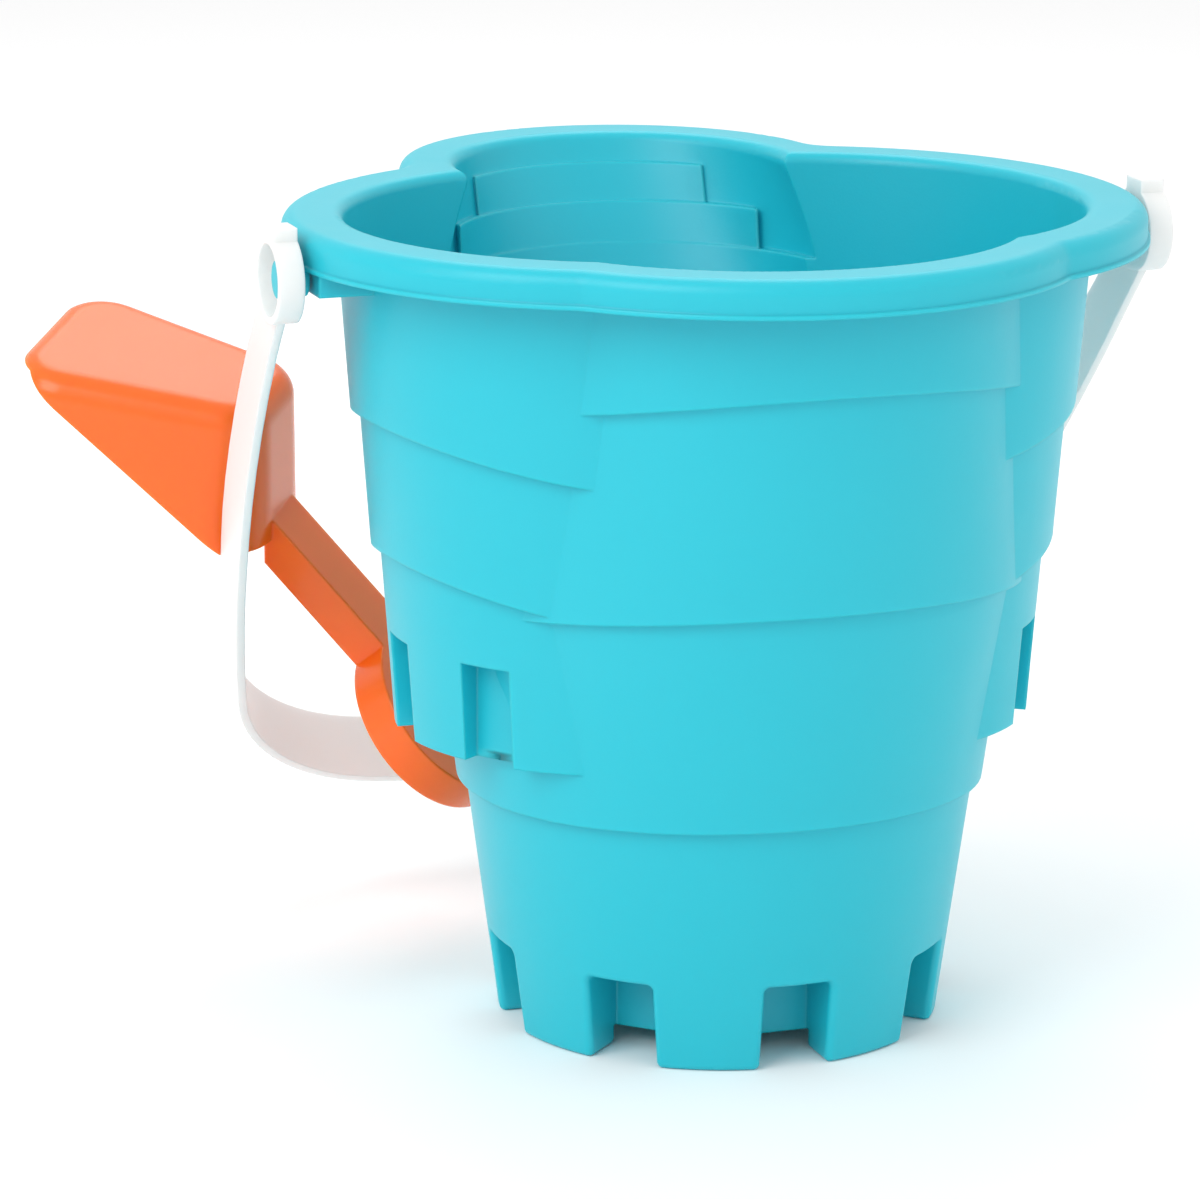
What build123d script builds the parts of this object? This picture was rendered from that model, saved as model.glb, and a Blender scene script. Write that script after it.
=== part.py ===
from build123d import *
import os
from math import cos, sin, radians

# Sand bucket shaped like an upturned castle, with a swing handle and a stored shovel.
# Millimetres, Z up, origin on the bucket's axis where it stands. +X runs to a handle pin, +Y to the back.

# bucket, driving dimensions
bucket_height = 215.0
wall = 2.2
step = 2.4  # how far each ledge stands out

keep_radius = 58.3  # round tower in the middle, at the ground
keep_draft = 0.135  # growth of its radius per mm of height
keep_ledge = (65.0, 67.0)  # ledge heights are given at the ends of its arch and at the middle
keep_top = 120.0  # where its front and back start to grow into lobes
merlon_depth = 15.0
merlon_height = 23.0
merlon_gap = 18.0
merlon_count = 8
merlon_rounding = 1.6
floor_height = 5.0
floor_radius = 45.5  # inside the ring of merlons

front_offset = -19.5  # lobes at the rim: a broad one in front, a narrow one behind
front_radius = 70.5
back_offset = 81.0
back_radius = 46.5
lobe_low_ledge = (119.0, 125.0)
front_high_depth = (43.0, 33.0)  # the high ledges and the stair are measured down from the rim
back_high_depth = (31.4, 30.6)
stairs = ((10.0, 62.0), (20.0, 82.0))  # depth and width of the short steps in the back wall
stair_step = 1.0

turret_offset = 25.5  # half-round towers under the two pins
turret_setback = 5.5
turret_radius = 59.7
turret_draft = 0.075
turret_foot = 80.0
turret_ledges = ((118.0, 129.0), (156.0, 165.0))
crenel_depth = 5.5
crenel_height = 26.0
crenel_width = 15.0
crenel_pitch = 36.0
turret_sill = 2.0  # the underside lies this much above the crenels' feet

# rim
rim_reach = 13.6
rim_depth = 9.5
rim_thickness = 2.6
skirt_thickness = 2.2
rim_edge_radius = 4.0
rim_lip_radius = 3.0
rim_notch_radius = 9.0
bead_height = 1.2
bead_reach = 0.7

# pins and handle
pin_drop = 12.0  # below the rim's top
pin_diameter = 6.0
pin_boss_diameter = 9.0
pin_head_diameter = 9.6
pin_head_thickness = 2.0
pin_clearance = 0.1
pin_end_gap = 0.3
eye_gap = 2.0
eye_outer = 22.5
eye_wall = 2.0
eye_length = 6.6
eye_web = 2.0
eye_tab_width = 9.0
eye_tab_height = 2.4
strap_thickness = 2.3
strap_neck_width = 15.0
strap_width = 21.0
handle_rest_tilt = 41.0  # back from straight down
leg_bow_radius = 850.0
leg_bow_angle = 12.0
corner_radius = 57.0
corner_angle = 70.0
brace_width = 20.0
brace_depth = 6.0

# shovel, in its own plane: x from heel to tip, y across, z from its floor to its rim
blade_length = 70.0
heel_half_width = 19.0
tip_half_width = 31.0
blade_height = 41.0
blade_wall = 2.0
blade_flare = 8.0
blade_bottom_radius = 8.0
blade_corner_radius = 13.0
tip_corner_radius = 14.0
rim_flat_end = 4.0
rim_foot = 64.0
shaft_width = 17.0
shaft_thickness = 11.0
shaft_length = 46.0
shaft_rise = 38.0
shaft_start = (-1.0, 39.0)
shaft_lap = 10.0  # runs on into the heel and the grip
grip_length = 54.0
grip_width = 60.0
grip_bar = 14.0

# how it is stored, in the handle's own directions: across, down its legs, out of its plane
shovel_corner = (14.585, 136.1, 2.695)  # the heel's near rim corner, from a leg's face, the pins and the edge
shovel_length_direction = (-0.8168, 0.1904, 0.5446)
shovel_rim_direction = (-0.053, 0.9152, -0.3995)

front_high_ledge = [bucket_height - depth for depth in front_high_depth]
back_high_ledge = [bucket_height - depth for depth in back_high_depth]
turret_top = turret_radius + turret_draft * (bucket_height - turret_foot) + 2 * step
rim_edge = turret_offset + turret_top + rim_reach
eye_inner_face = rim_edge + eye_gap
pin_height = bucket_height - pin_drop
pin_root = rim_edge - skirt_thickness / 2
pin_tip = eye_inner_face + eye_web + pin_end_gap


def keep_radius_at(height):
    """Radius of the middle tower below its ledge."""
    return keep_radius + keep_draft * height


def cone(center, low, high, radius_low, radius_high):
    with BuildPart() as body:
        with Locations((center[0], center[1], low)):
            Cone(radius_low, radius_high, high - low, align=(Align.CENTER, Align.CENTER, Align.MIN))
    return body.part


def above_arch(body, heights, half_width, inset, facing=Plane.XZ):
    """Keeps what stands above an arch with the given heights at its ends and its middle."""
    side, middle = heights[0] + inset, heights[1] + inset
    with BuildPart() as kept:
        add(body)
        with BuildSketch(facing):
            with BuildLine():
                ThreePointArc((-half_width, side), (0, middle), (half_width, side))
                Polyline((half_width, side), (2 * half_width, side), (2 * half_width, -half_width))
                Polyline((2 * half_width, -half_width), (-2 * half_width, -half_width))
                Polyline((-2 * half_width, -half_width), (-2 * half_width, side), (-half_width, side))
            make_face()
        extrude(amount=2 * bucket_height, both=True, mode=Mode.SUBTRACT)
    return kept.part


def keep(inset):
    """The middle tower, its ledge and the merlons that it stands on."""
    low, high = inset, keep_top
    with BuildPart() as tower:
        add(cone((0, 0), low, high, keep_radius_at(low) - inset, keep_radius_at(high) - inset))
        Cylinder(floor_radius + inset, floor_height + inset, align=(Align.CENTER, Align.CENTER, Align.MIN),
                 mode=Mode.SUBTRACT)
        with PolarLocations(0, merlon_count, start_angle=-90):
            with Locations((keep_radius - merlon_depth - inset, 0, 0)):
                Box(2 * merlon_depth, merlon_gap + 2 * inset, merlon_height + inset,
                    align=(Align.MIN, Align.CENTER, Align.MIN), mode=Mode.SUBTRACT)
        if not inset:
            feet = tower.edges().group_by(Axis.Z)[0]
            outside = [edge for edge in tower.edges() if edge.center().Z < merlon_height + step
                       and Vector(edge.center().X, edge.center().Y, 0).length > floor_radius + step]
            outside = ShapeList(outside)
            corners = outside.filter_by(lambda edge: edge.bounding_box().size.Z > merlon_height / 2)
            gap_tops = outside.filter_by(lambda edge: edge.center().Z > merlon_height - step)
            fillet(feet + corners + gap_tops, merlon_rounding)
    low = keep_ledge[0] - step
    outer = cone((0, 0), low, high, keep_radius_at(low) + step - inset, keep_radius_at(high) + step - inset)
    outer = above_arch(outer, keep_ledge, keep_radius_at(low), inset)
    return tower.part + outer


def lobe_body(offset, radius, top, grow):
    """A skewed cone from the middle tower to a lobe of the rim."""
    overshoot = (top - keep_top) / (bucket_height - keep_top)
    base = keep_radius_at(keep_top) + step
    with BuildPart() as body:
        with BuildSketch(Plane.XY.offset(keep_top)):
            Circle(base + grow)
        with BuildSketch(Plane.XY.offset(top)):
            with Locations((0, offset * overshoot)):
                Circle(base + (radius - 2 * step - base) * overshoot + grow)
        loft()
    return body.part


def lobe(offset, radius, high_ledge, top, inset):
    """A front or back lobe with its two ledges."""
    reach = keep_radius_at(keep_top)
    plain = lobe_body(offset, radius, top, -inset)
    low = above_arch(lobe_body(offset, radius, top, step - inset), lobe_low_ledge, reach, inset)
    high = above_arch(lobe_body(offset, radius, top, 2 * step - inset), high_ledge, reach, inset)
    return plain + low + high


def stepped(body, top, inset):
    """Sinks the two short steps of the stair into the back lobe."""
    for number, (depth, width) in enumerate(stairs):
        with BuildPart() as sunk:
            with Locations((0, back_offset - step, back_high_ledge[0] - 2 * step)):
                Box(width + 2 * inset, 2 * rim_edge, back_high_depth[0] - depth + inset + 2 * step,
                    align=(Align.CENTER, Align.MIN, Align.MIN))
            add(lobe_body(back_offset, back_radius, top, 2 * step - (number + 1) * stair_step - inset),
                mode=Mode.SUBTRACT)
        body = body - sunk.part
    return body


def turret(side, top, inset):
    """A half-round tower under a pin (-1 or +1), with two ledges and crenels round its foot."""
    center = (side * turret_offset, turret_setback)
    foot = turret_foot + inset
    faces = 0 if side > 0 else 180

    def radius_at(height):
        return turret_radius + turret_draft * (height - turret_foot) - inset

    with BuildPart() as tower:
        add(cone(center, foot, top, radius_at(foot), radius_at(top)))
        with Locations((*center, turret_foot)):
            Cylinder(turret_radius - crenel_depth + inset, turret_sill + inset,
                     align=(Align.CENTER, Align.CENTER, Align.MIN), mode=Mode.SUBTRACT)
            with PolarLocations(0, 3, start_angle=faces - crenel_pitch, angular_range=2 * crenel_pitch,
                                endpoint=True):
                with Locations((turret_radius - crenel_depth - inset, 0, 0)):
                    Box(4 * crenel_depth, crenel_width + 2 * inset, crenel_height + inset,
                        align=(Align.MIN, Align.CENTER, Align.MIN), mode=Mode.SUBTRACT)
    whole = tower.part
    for number, ledge in enumerate(turret_ledges):
        grow = (number + 1) * step
        low = ledge[0] - step
        tier = cone(center, low, top, radius_at(low) + grow, radius_at(top) + grow)
        whole = whole + above_arch(tier, ledge, turret_radius, inset, Plane.YZ)
    return whole


def castle(top, inset):
    """The bucket's body as a solid; with an inset of one wall it is the room inside."""
    whole = keep(inset)
    for side in (-1, 1):
        whole = whole + turret(side, top, inset)
    whole = whole + lobe(front_offset, front_radius, front_high_ledge, top, inset)
    whole = whole + lobe(back_offset, back_radius, back_high_ledge, top, inset)
    return stepped(whole, top, inset)


def rim_plan(reach, notch):
    """Outline of the rim, four lobes, a given distance outside the wall."""
    with BuildSketch() as plan:
        with Locations((-turret_offset, turret_setback), (turret_offset, turret_setback)):
            Circle(turret_top + reach)
        with Locations((0, front_offset)):
            Circle(front_radius + reach)
        with Locations((0, back_offset)):
            Circle(back_radius + reach)
        junctions = [v for v in plan.vertices() if abs(v.X) > 1 and abs(v.Y) > 1]
        fillet(junctions, notch)
    return plan.sketch


outer_body = castle(bucket_height, 0)
cavity = castle(bucket_height + wall, wall)

with BuildPart() as rim:
    skirt_foot = bucket_height - rim_depth
    with BuildSketch(Plane.XY.offset(skirt_foot)):
        add(rim_plan(rim_reach, rim_notch_radius))
    extrude(amount=rim_depth)
    fillet(rim.faces().sort_by(Axis.Z)[-1].edges(), rim_edge_radius)
    with BuildSketch(Plane.XY.offset(skirt_foot)):
        add(rim_plan(rim_reach - skirt_thickness, rim_notch_radius + skirt_thickness))
    extrude(amount=rim_depth - rim_thickness, mode=Mode.SUBTRACT)
    with BuildSketch(Plane.XY.offset(skirt_foot)):
        add(rim_plan(rim_reach + bead_reach, rim_notch_radius - bead_reach))
        add(rim_plan(rim_reach - skirt_thickness, rim_notch_radius + skirt_thickness), mode=Mode.SUBTRACT)
    extrude(amount=bead_height)

with BuildPart() as bucket_shell:
    add(outer_body)
    add(rim.part)
    for side in (-1, 1):
        for start, end, diameter in ((pin_root, eye_inner_face - pin_end_gap, pin_boss_diameter),
                                     (pin_root, pin_tip, pin_diameter),
                                     (pin_tip, pin_tip + pin_head_thickness, pin_head_diameter)):
            with BuildSketch(Plane.YZ.offset(side * start)):
                with Locations((0, pin_height)):
                    Circle(diameter / 2)
            extrude(amount=side * (end - start))
        with Locations((side * (rim_edge - brace_width / 2 - 2), 0, skirt_foot)):
            Box(brace_width, brace_width, 2 * brace_depth)
    add(cavity, mode=Mode.SUBTRACT)
    mouth = bucket_shell.faces().sort_by(Axis.Z)[-1].inner_wires()[0]
    fillet(mouth.edges(), rim_lip_radius)
bucket_shell.part.label = "bucket_shell"

# handle, hanging back on the stored shovel
tilt = radians(handle_rest_tilt)
pins = (0, 0, pin_height)
hanging = Plane(origin=pins, x_dir=(1, 0, 0), z_dir=(0, cos(tilt), sin(tilt)))  # y down the legs
across = Plane(origin=pins, x_dir=hanging.z_dir, z_dir=(-1, 0, 0))  # x across the strap, y down
eye_middle = eye_inner_face + eye_length / 2
bow, bend, square = radians(leg_bow_angle), radians(leg_bow_angle + corner_angle), radians(90)
bow_center = (eye_middle - leg_bow_radius, 0)
bend_start = (bow_center[0] + leg_bow_radius * cos(bow), leg_bow_radius * sin(bow))
bend_center = (bend_start[0] - corner_radius * cos(bow), bend_start[1] - corner_radius * sin(bow))
bend_end = (bend_center[0] + corner_radius * cos(bend), bend_center[1] + corner_radius * sin(bend))
bottom_radius = bend_end[0] / cos(bend)
bottom_center = (0, bend_end[1] - bottom_radius * sin(bend))
handle_reach = bottom_center[1] + bottom_radius


def strap_side(out):
    """Draws one face of the strap, a distance outside its middle, and gives its two ends."""
    runs = []
    for (x, y), radius, start, end in ((bow_center, leg_bow_radius, 0, bow),
                                       (bend_center, corner_radius, bow, bend),
                                       (bottom_center, bottom_radius, bend, square)):
        reach = radius + out
        angles = (start, (start + end) / 2, end)
        runs.append([(x + reach * cos(angle), y + reach * sin(angle)) for angle in angles])
    for run in runs:
        ThreePointArc(*run)
        ThreePointArc(*[(-x, y) for x, y in run])
    x, y = runs[0][0]
    return (x, y), (-x, y)


with BuildPart() as bail_handle:
    with BuildSketch(hanging):
        with BuildLine():
            outer_ends = strap_side(strap_thickness / 2)
            inner_ends = strap_side(-strap_thickness / 2)
            Line(outer_ends[0], inner_ends[0])
            Line(outer_ends[1], inner_ends[1])
        make_face()
    extrude(amount=strap_width / 2, both=True)
    with BuildSketch(across):
        neck, full = strap_neck_width / 2, strap_width / 2
        with BuildLine():
            Polyline((neck, -1), (neck, eye_outer), (full, handle_reach / 2),
                     (full, handle_reach + eye_outer), (-full, handle_reach + eye_outer),
                     (-full, handle_reach / 2), (-neck, eye_outer), (-neck, -1), (neck, -1))
        make_face()
    extrude(amount=2 * rim_edge, both=True, mode=Mode.INTERSECT)
    for side in (-1, 1):
        with BuildSketch(Plane.YZ.offset(side * eye_inner_face)):
            with Locations((0, pin_height)):
                Circle(eye_outer / 2)
            with Locations((0, pin_height + eye_outer / 4 + eye_tab_height / 2)):
                Rectangle(eye_tab_width, eye_outer / 2 + eye_tab_height)
        extrude(amount=side * eye_length)
        with BuildSketch(Plane.YZ.offset(side * (eye_inner_face + eye_web))):
            with Locations((0, pin_height)):
                Circle(eye_outer / 2 - eye_wall)
        extrude(amount=side * eye_length, mode=Mode.SUBTRACT)
        with BuildSketch(Plane.YZ.offset(side * eye_inner_face)):
            with Locations((0, pin_height)):
                Circle(pin_diameter / 2 + pin_clearance)
        extrude(amount=side * eye_length, mode=Mode.SUBTRACT)
bail_handle.part.label = "bail_handle"


# shovel, built where it is stored
def along_handle(across_it, down, out):
    """A distance or direction given in the handle's own directions."""
    return hanging.x_dir * across_it + hanging.y_dir * down + hanging.z_dir * out


leg_face = eye_middle - strap_thickness / 2
inward, down_leg, off_edge = shovel_corner
heel_corner = hanging.origin + along_handle(inward - leg_face, down_leg, off_edge + strap_width / 2)
lie = Plane(origin=heel_corner, x_dir=along_handle(*shovel_length_direction),
            z_dir=along_handle(*shovel_rim_direction))
heel_floor = heel_corner + lie.y_dir * heel_half_width - lie.z_dir * blade_height
stored = Plane(origin=heel_floor, x_dir=lie.x_dir, z_dir=lie.z_dir)
stored_side = Plane(origin=heel_floor, x_dir=stored.x_dir, z_dir=-stored.y_dir)  # x to the tip, y to the rim
rise = radians(shaft_rise)
shaft_way = stored.x_dir * -cos(rise) + stored.z_dir * sin(rise)
shaft_root = stored.origin + stored.x_dir * shaft_start[0] + stored.z_dir * shaft_start[1]
shaft_plane = Plane(origin=shaft_root, x_dir=shaft_way, z_dir=shaft_way.cross(stored.y_dir))


def blade_plan(inset):
    """The scoop's floor: narrow at the heel, wide at the tip, which the hollow runs out of."""
    heel, tip = heel_half_width - inset, tip_half_width - inset
    reach = blade_length + 3 * inset
    with BuildSketch() as plan:
        with BuildLine():
            Polyline((inset, heel), (reach, tip), (reach, -tip), (inset, -heel), (inset, heel))
        make_face()
        fillet(plan.vertices().sort_by(Axis.X)[:2], blade_corner_radius - inset)
        fillet(plan.vertices().sort_by(Axis.X)[-2:], tip_corner_radius)
    return plan.sketch


def tray(inset):
    """The scoop as a block with flared walls; with an inset it is the hollow."""
    with BuildPart() as block:
        with BuildSketch(stored.offset(inset)):
            add(blade_plan(inset))
        extrude(amount=1.5 * blade_height, taper=-blade_flare)
        floor = block.faces().sort_by(Axis(stored.origin, stored.z_dir))[0]
        fillet(floor.edges(), blade_bottom_radius - inset)
    return block.part


with BuildPart() as shovel:
    add(tray(0))
    with BuildSketch(stored_side):
        with BuildLine():
            Polyline((-blade_length, blade_height), (rim_flat_end, blade_height), (rim_foot, blade_wall),
                     (2 * blade_length, blade_wall), (2 * blade_length, 2 * blade_height),
                     (-blade_length, 2 * blade_height), (-blade_length, blade_height))
        make_face()
    extrude(amount=2 * tip_half_width, both=True, mode=Mode.SUBTRACT)
    with BuildSketch(shaft_plane) as handle_plan:
        with Locations((-shaft_lap, 0)):
            Rectangle(shaft_length + 2 * shaft_lap, shaft_width, align=(Align.MIN, Align.CENTER))
        with Locations((shaft_length + grip_length / 2, 0)):
            Ellipse(grip_length / 2, grip_width / 2)
            Ellipse(grip_length / 2 - grip_bar, grip_width / 2 - grip_bar, mode=Mode.SUBTRACT)
    extrude(amount=shaft_thickness / 2, both=True)
    add(tray(blade_wall), mode=Mode.SUBTRACT)
shovel.part.label = "shovel"

os.makedirs("parts", exist_ok=True)
for piece in (bucket_shell, bail_handle, shovel):
    export_step(piece.part, f"parts/{piece.part.label}.step")
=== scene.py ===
import math
import bpy
from mathutils import Matrix, Vector


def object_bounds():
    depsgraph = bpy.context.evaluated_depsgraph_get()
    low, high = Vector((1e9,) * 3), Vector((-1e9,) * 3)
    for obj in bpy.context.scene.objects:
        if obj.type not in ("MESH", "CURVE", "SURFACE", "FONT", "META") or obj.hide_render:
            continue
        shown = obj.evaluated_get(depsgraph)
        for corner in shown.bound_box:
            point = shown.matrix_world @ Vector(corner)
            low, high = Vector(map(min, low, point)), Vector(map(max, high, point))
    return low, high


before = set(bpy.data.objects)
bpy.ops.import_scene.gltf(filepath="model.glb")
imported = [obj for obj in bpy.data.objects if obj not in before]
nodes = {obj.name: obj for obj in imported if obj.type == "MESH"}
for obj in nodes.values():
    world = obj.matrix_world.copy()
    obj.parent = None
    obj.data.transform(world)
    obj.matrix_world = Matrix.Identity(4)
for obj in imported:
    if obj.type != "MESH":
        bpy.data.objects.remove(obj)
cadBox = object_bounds()
print("frame loaded", [round(v, 4) for v in cadBox[1] - cadBox[0]])


# ---- shader helpers ----
def newMaterial(name):
    mat = bpy.data.materials.new(name)
    mat.use_nodes = True
    mat.node_tree.nodes.clear()
    return mat, mat.node_tree


def addNode(tree, kind, at=(0, 0), **values):
    node = tree.nodes.new(kind)
    node.location = at
    for key, value in values.items():
        setattr(node, key, value)
    return node


def newGroup(name, inputs, outputs):
    group = bpy.data.node_groups.new(name, "ShaderNodeTree")
    for label, kind, default in inputs:
        socket = group.interface.new_socket(name=label, in_out="INPUT", socket_type=kind)
        socket.default_value = default
    for label, kind in outputs:
        group.interface.new_socket(name=label, in_out="OUTPUT", socket_type=kind)
    return group, addNode(group, "NodeGroupInput", (-900, 0)), addNode(group, "NodeGroupOutput", (600, 0))


def placeGroup(tree, group, at, **values):
    node = addNode(tree, "ShaderNodeGroup", at, node_tree=group)
    for label, value in values.items():
        node.inputs[label].default_value = value
    return node


def makeTint():
    # slow drift of colour that thick and thin stretches of a moulding have
    group, start, end = newGroup(
        "mouldedTint",
        [("Colour", "NodeSocketColor", (0.8, 0.8, 0.8, 1)), ("Deep", "NodeSocketColor", (0.5, 0.5, 0.5, 1)),
         ("Patch Size", "NodeSocketFloat", 12.0), ("Amount", "NodeSocketFloat", 0.3)],
        [("Colour", "NodeSocketColor")])
    place = addNode(group, "ShaderNodeTexCoord", (-900, -200))
    noise = addNode(group, "ShaderNodeTexNoise", (-600, -100))
    noise.inputs["Detail"].default_value = 3.0
    noise.inputs["Roughness"].default_value = 0.45
    share = addNode(group, "ShaderNodeMath", (-300, -100), operation="MULTIPLY")
    mix = addNode(group, "ShaderNodeMix", (0, 0), data_type="RGBA")
    group.links.new(place.outputs["Object"], noise.inputs["Vector"])
    group.links.new(start.outputs["Patch Size"], noise.inputs["Scale"])
    group.links.new(noise.outputs["Fac"], share.inputs[0])
    group.links.new(start.outputs["Amount"], share.inputs[1])
    group.links.new(share.outputs[0], mix.inputs["Factor"])
    group.links.new(start.outputs["Colour"], mix.inputs["A"])
    group.links.new(start.outputs["Deep"], mix.inputs["B"])
    group.links.new(mix.outputs["Result"], end.inputs["Colour"])
    return group


def makeSkin():
    # fine moulded grain, faint handling marks and a slow ripple
    group, start, end = newGroup(
        "mouldedSkin",
        [("Grain Size", "NodeSocketFloat", 1500.0), ("Grain", "NodeSocketFloat", 0.05),
         ("Gloss", "NodeSocketFloat", 0.35), ("Gloss Drift", "NodeSocketFloat", 0.1),
         ("Ripple", "NodeSocketFloat", 0.1)],
        [("Roughness", "NodeSocketFloat"), ("Height", "NodeSocketFloat")])
    place = addNode(group, "ShaderNodeTexCoord", (-900, -300))
    grain = addNode(group, "ShaderNodeTexNoise", (-600, -100))
    grain.inputs["Detail"].default_value = 2.0
    smear = addNode(group, "ShaderNodeTexNoise", (-600, -400))
    smear.inputs["Scale"].default_value = 38.0
    smear.inputs["Detail"].default_value = 5.0
    ripple = addNode(group, "ShaderNodeTexNoise", (-600, -700))
    ripple.inputs["Scale"].default_value = 22.0
    ripple.inputs["Detail"].default_value = 0.0
    for texture in (grain, smear, ripple):
        group.links.new(place.outputs["Object"], texture.inputs["Vector"])
    group.links.new(start.outputs["Grain Size"], grain.inputs["Scale"])
    drift = addNode(group, "ShaderNodeMath", (-300, -400), operation="MULTIPLY")
    rough = addNode(group, "ShaderNodeMath", (0, -300), operation="ADD")
    group.links.new(smear.outputs["Fac"], drift.inputs[0])
    group.links.new(start.outputs["Gloss Drift"], drift.inputs[1])
    group.links.new(start.outputs["Gloss"], rough.inputs[0])
    group.links.new(drift.outputs[0], rough.inputs[1])
    fine = addNode(group, "ShaderNodeMath", (-300, -100), operation="MULTIPLY")
    wide = addNode(group, "ShaderNodeMath", (-300, -700), operation="MULTIPLY")
    both = addNode(group, "ShaderNodeMath", (0, -100), operation="ADD")
    group.links.new(grain.outputs["Fac"], fine.inputs[0])
    group.links.new(start.outputs["Grain"], fine.inputs[1])
    group.links.new(ripple.outputs["Fac"], wide.inputs[0])
    group.links.new(start.outputs["Ripple"], wide.inputs[1])
    group.links.new(fine.outputs[0], both.inputs[0])
    group.links.new(wide.outputs[0], both.inputs[1])
    group.links.new(rough.outputs[0], end.inputs["Roughness"])
    group.links.new(both.outputs[0], end.inputs["Height"])
    return group


tintGroup, skinGroup = makeTint(), makeSkin()


def mouldedPlastic(name, look):
    # one moulding: tint, grain, rounded corners and light that soaks in
    mat, tree = newMaterial(name)
    out = addNode(tree, "ShaderNodeOutputMaterial", (900, 0))
    bsdf = addNode(tree, "ShaderNodeBsdfPrincipled", (500, 0))
    tint = placeGroup(tree, tintGroup, (0, 200), **{"Colour": look["colour"], "Deep": look["deep"],
                      "Patch Size": look["patchSize"], "Amount": look["patchAmount"]})
    skin = placeGroup(tree, skinGroup, (0, -200), **{"Grain Size": look["grainSize"], "Grain": look["grain"],
                      "Gloss": look["gloss"], "Gloss Drift": look["glossDrift"], "Ripple": look["ripple"]})
    corner = addNode(tree, "ShaderNodeBevel", (0, -500), samples=8)
    corner.inputs["Radius"].default_value = look["cornerRadius"]
    bump = addNode(tree, "ShaderNodeBump", (250, -300))
    bump.inputs["Strength"].default_value = look["bumpStrength"]
    bump.inputs["Distance"].default_value = look["bumpDepth"]
    tree.links.new(tint.outputs["Colour"], bsdf.inputs["Base Color"])
    tree.links.new(skin.outputs["Roughness"], bsdf.inputs["Roughness"])
    tree.links.new(skin.outputs["Height"], bump.inputs["Height"])
    tree.links.new(corner.outputs["Normal"], bump.inputs["Normal"])
    tree.links.new(bump.outputs["Normal"], bsdf.inputs["Normal"])
    bsdf.inputs["IOR"].default_value = 1.49
    bsdf.inputs["Specular IOR Level"].default_value = look["specular"]
    bsdf.inputs["Subsurface Weight"].default_value = look["soak"]
    bsdf.inputs["Subsurface Radius"].default_value = look["soakRadius"]
    bsdf.inputs["Subsurface Scale"].default_value = look["soakDepth"]
    tree.links.new(bsdf.outputs["BSDF"], out.inputs["Surface"])
    return mat


def dress(node, mat):
    obj = nodes[node]
    for slot in obj.material_slots:
        slot.material = mat


# ---- bucket ----
bucketLook = {
    "colour": (0.012, 0.490, 0.590, 1), "deep": (0.008, 0.440, 0.540, 1),
    "patchSize": 9.0, "patchAmount": 0.35,
    "grainSize": 1400.0, "grain": 0.5, "gloss": 0.34, "glossDrift": 0.12, "ripple": 1.0,
    "cornerRadius": 0.0011, "bumpStrength": 0.12, "bumpDepth": 0.0004, "specular": 0.45,
    "soak": 0.35, "soakRadius": (0.25, 0.9, 1.0), "soakDepth": 0.006,
}
dress("bucket_shell", mouldedPlastic("turquoiseMoulding", bucketLook))
print("bucket dressed")

# ---- handle ----
handleLook = {
    "colour": (0.80, 0.80, 0.79, 1), "deep": (0.74, 0.75, 0.74, 1), "patchSize": 20.0, "patchAmount": 0.3,
    "grainSize": 1800.0, "grain": 0.4, "gloss": 0.30, "glossDrift": 0.1, "ripple": 0.6,
    "cornerRadius": 0.0006, "bumpStrength": 0.1, "bumpDepth": 0.0003, "specular": 0.5,
    "soak": 0.6, "soakRadius": (1.0, 0.95, 0.9), "soakDepth": 0.004,
}
dress("bail_handle", mouldedPlastic("whiteMoulding", handleLook))
print("handle dressed")

# ---- shovel ----
shovelLook = {
    "colour": (1.0, 0.150, 0.008, 1), "deep": (1.0, 0.115, 0.003, 1), "patchSize": 16.0, "patchAmount": 0.3,
    "grainSize": 1800.0, "grain": 0.2, "gloss": 0.20, "glossDrift": 0.08, "ripple": 0.8,
    "cornerRadius": 0.0012, "bumpStrength": 0.1, "bumpDepth": 0.0003, "specular": 0.5,
    "soak": 0.5, "soakRadius": (1.0, 0.45, 0.12), "soakDepth": 0.006,
}
dress("shovel", mouldedPlastic("orangeMoulding", shovelLook))
print("shovel dressed")


# ---- studio ----
studio = {
    "floorSize": 40.0, "floorColour": (0.98, 0.98, 0.98, 1), "worldLight": 0.92, "worldSeen": 1.0,
    "keyPower": 9.0, "keySize": 0.9, "keyPlace": (-1.05, -0.60, 1.05),
    "fillPower": 1.5, "fillSize": 1.4, "fillPlace": (1.2, -0.9, 0.6),
    "rimPower": 5.0, "rimSize": 0.9, "rimPlace": (0.3, 0.9, 1.3),
}


def makeFloor():
    mesh = bpy.data.meshes.new("floor")
    half = studio["floorSize"] / 2
    corners = [(-half, -half, 0), (half, -half, 0), (half, half, 0), (-half, half, 0)]
    mesh.from_pydata(corners, [], [(0, 1, 2, 3)])
    floor = bpy.data.objects.new("floor", mesh)
    bpy.context.scene.collection.objects.link(floor)
    mat, tree = newMaterial("paperSweep")
    out = addNode(tree, "ShaderNodeOutputMaterial", (400, 0))
    bsdf = addNode(tree, "ShaderNodeBsdfPrincipled", (0, 0))
    bsdf.inputs["Base Color"].default_value = studio["floorColour"]
    bsdf.inputs["Roughness"].default_value = 0.9
    bsdf.inputs["Specular IOR Level"].default_value = 0.1
    tree.links.new(bsdf.outputs["BSDF"], out.inputs["Surface"])
    mesh.materials.append(mat)


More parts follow.
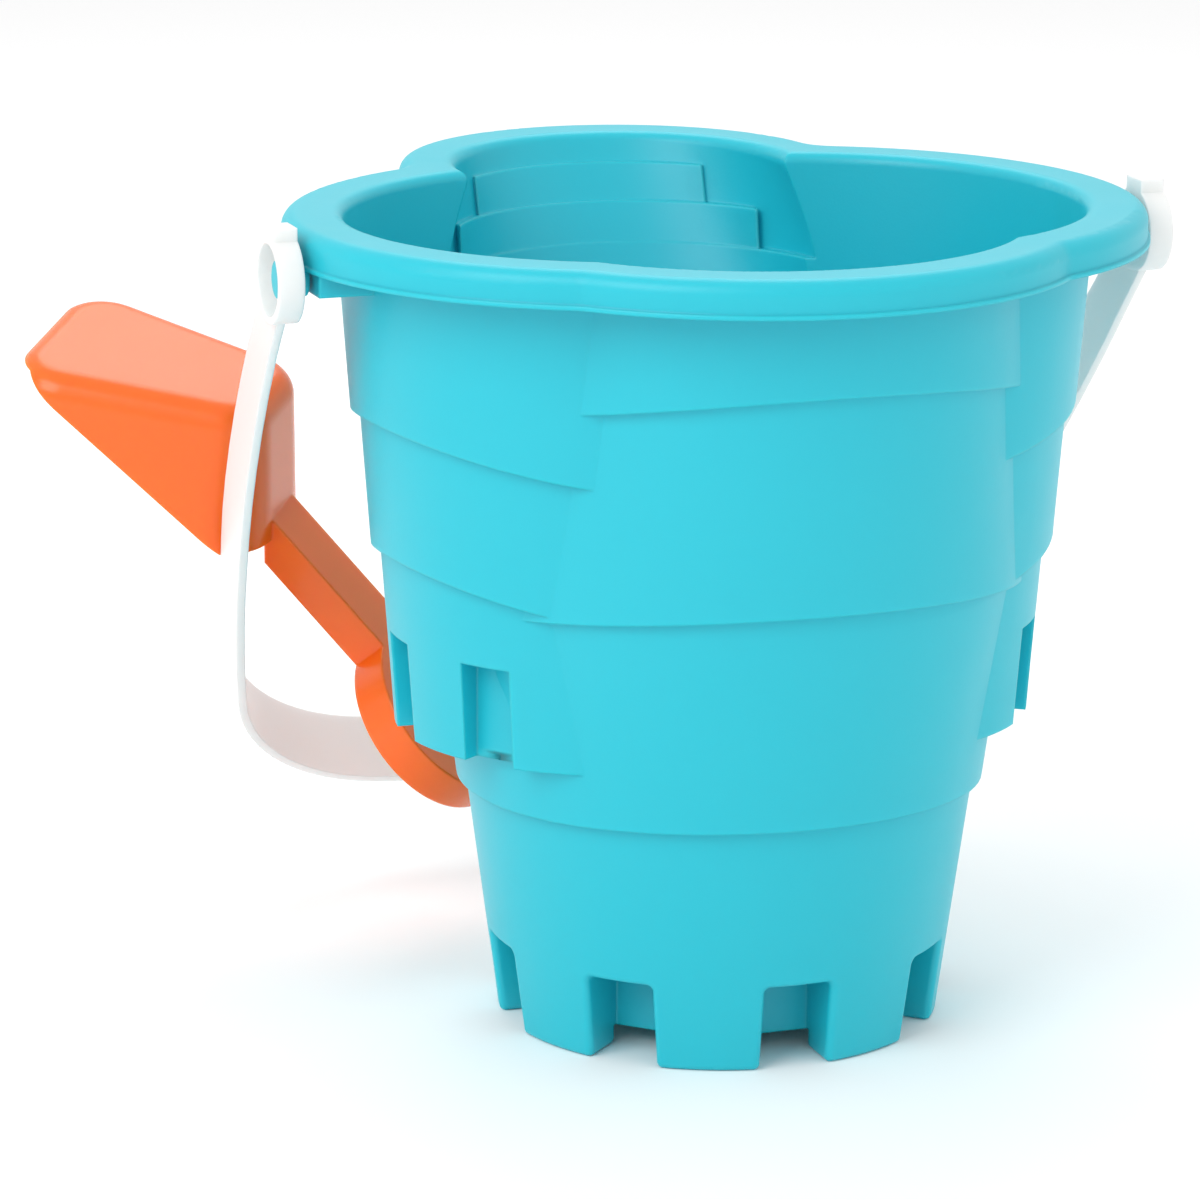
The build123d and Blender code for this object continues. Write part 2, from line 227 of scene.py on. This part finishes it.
def makeLamp(name, power, size, place, target):
    data = bpy.data.lights.new(name, "AREA")
    data.energy, data.size = power, size
    lamp = bpy.data.objects.new(name, data)
    lamp.location = place
    lamp.rotation_euler = (Vector(target) - Vector(place)).to_track_quat("-Z", "Y").to_euler()
    bpy.context.scene.collection.objects.link(lamp)


def makeWorld():
    # seen straight on the surround is plain white; it lights the bucket less strongly than that
    world = bpy.data.worlds.new("studio")
    world.use_nodes = True
    tree = world.node_tree
    back = tree.nodes["Background"]
    back.inputs["Color"].default_value = (1, 1, 1, 1)
    path = addNode(tree, "ShaderNodeLightPath", (-600, 0))
    strength = addNode(tree, "ShaderNodeMix", (-300, 0), data_type="FLOAT")
    strength.inputs["A"].default_value = studio["worldLight"]
    strength.inputs["B"].default_value = studio["worldSeen"]
    tree.links.new(path.outputs["Is Camera Ray"], strength.inputs["Factor"])
    tree.links.new(strength.outputs["Result"], back.inputs["Strength"])
    bpy.context.scene.world = world


middle = (cadBox[0] + cadBox[1]) / 2
bpy.context.scene.view_settings.view_transform = "Standard"
makeFloor()
makeWorld()
for kind in ("key", "fill", "rim"):
    makeLamp(kind + "Light", studio[kind + "Power"], studio[kind + "Size"], studio[kind + "Place"], middle)
print("studio lit")

# ---- camera ----
view = {"distance": 1.400, "height": 0.4620, "azimuth": -20.512, "pan": -1.293, "tilt": 14.103, "roll": 0.249,
        "lens": 164.8, "sensor": 36.0, "near": 0.05, "far": 50.0}


def makeCamera():
    data = bpy.data.cameras.new("camera")
    data.sensor_width = view["sensor"]
    data.lens = view["lens"]
    data.clip_start, data.clip_end = view["near"], view["far"]
    camera = bpy.data.objects.new("camera", data)
    bpy.context.scene.collection.objects.link(camera)
    bpy.context.scene.camera = camera
    turn, pan = math.radians(view["azimuth"]), math.radians(view["pan"])
    tilt, roll = math.radians(view["tilt"]), math.radians(view["roll"])
    place = Vector((view["distance"] * math.sin(turn), -view["distance"] * math.cos(turn), view["height"]))
    heading = turn - pan
    level = Vector((-math.sin(heading), math.cos(heading), 0))
    forward = level * math.cos(tilt) + Vector((0, 0, -math.sin(tilt)))
    right = Vector((math.cos(heading), math.sin(heading), 0))
    up = right.cross(forward)
    rolled = right * math.cos(roll) + up * math.sin(roll)
    up = rolled.cross(forward)
    camera.matrix_world = Matrix.Translation(place) @ Matrix((rolled, up, -forward)).transposed().to_4x4()


makeCamera()
print("camera placed")
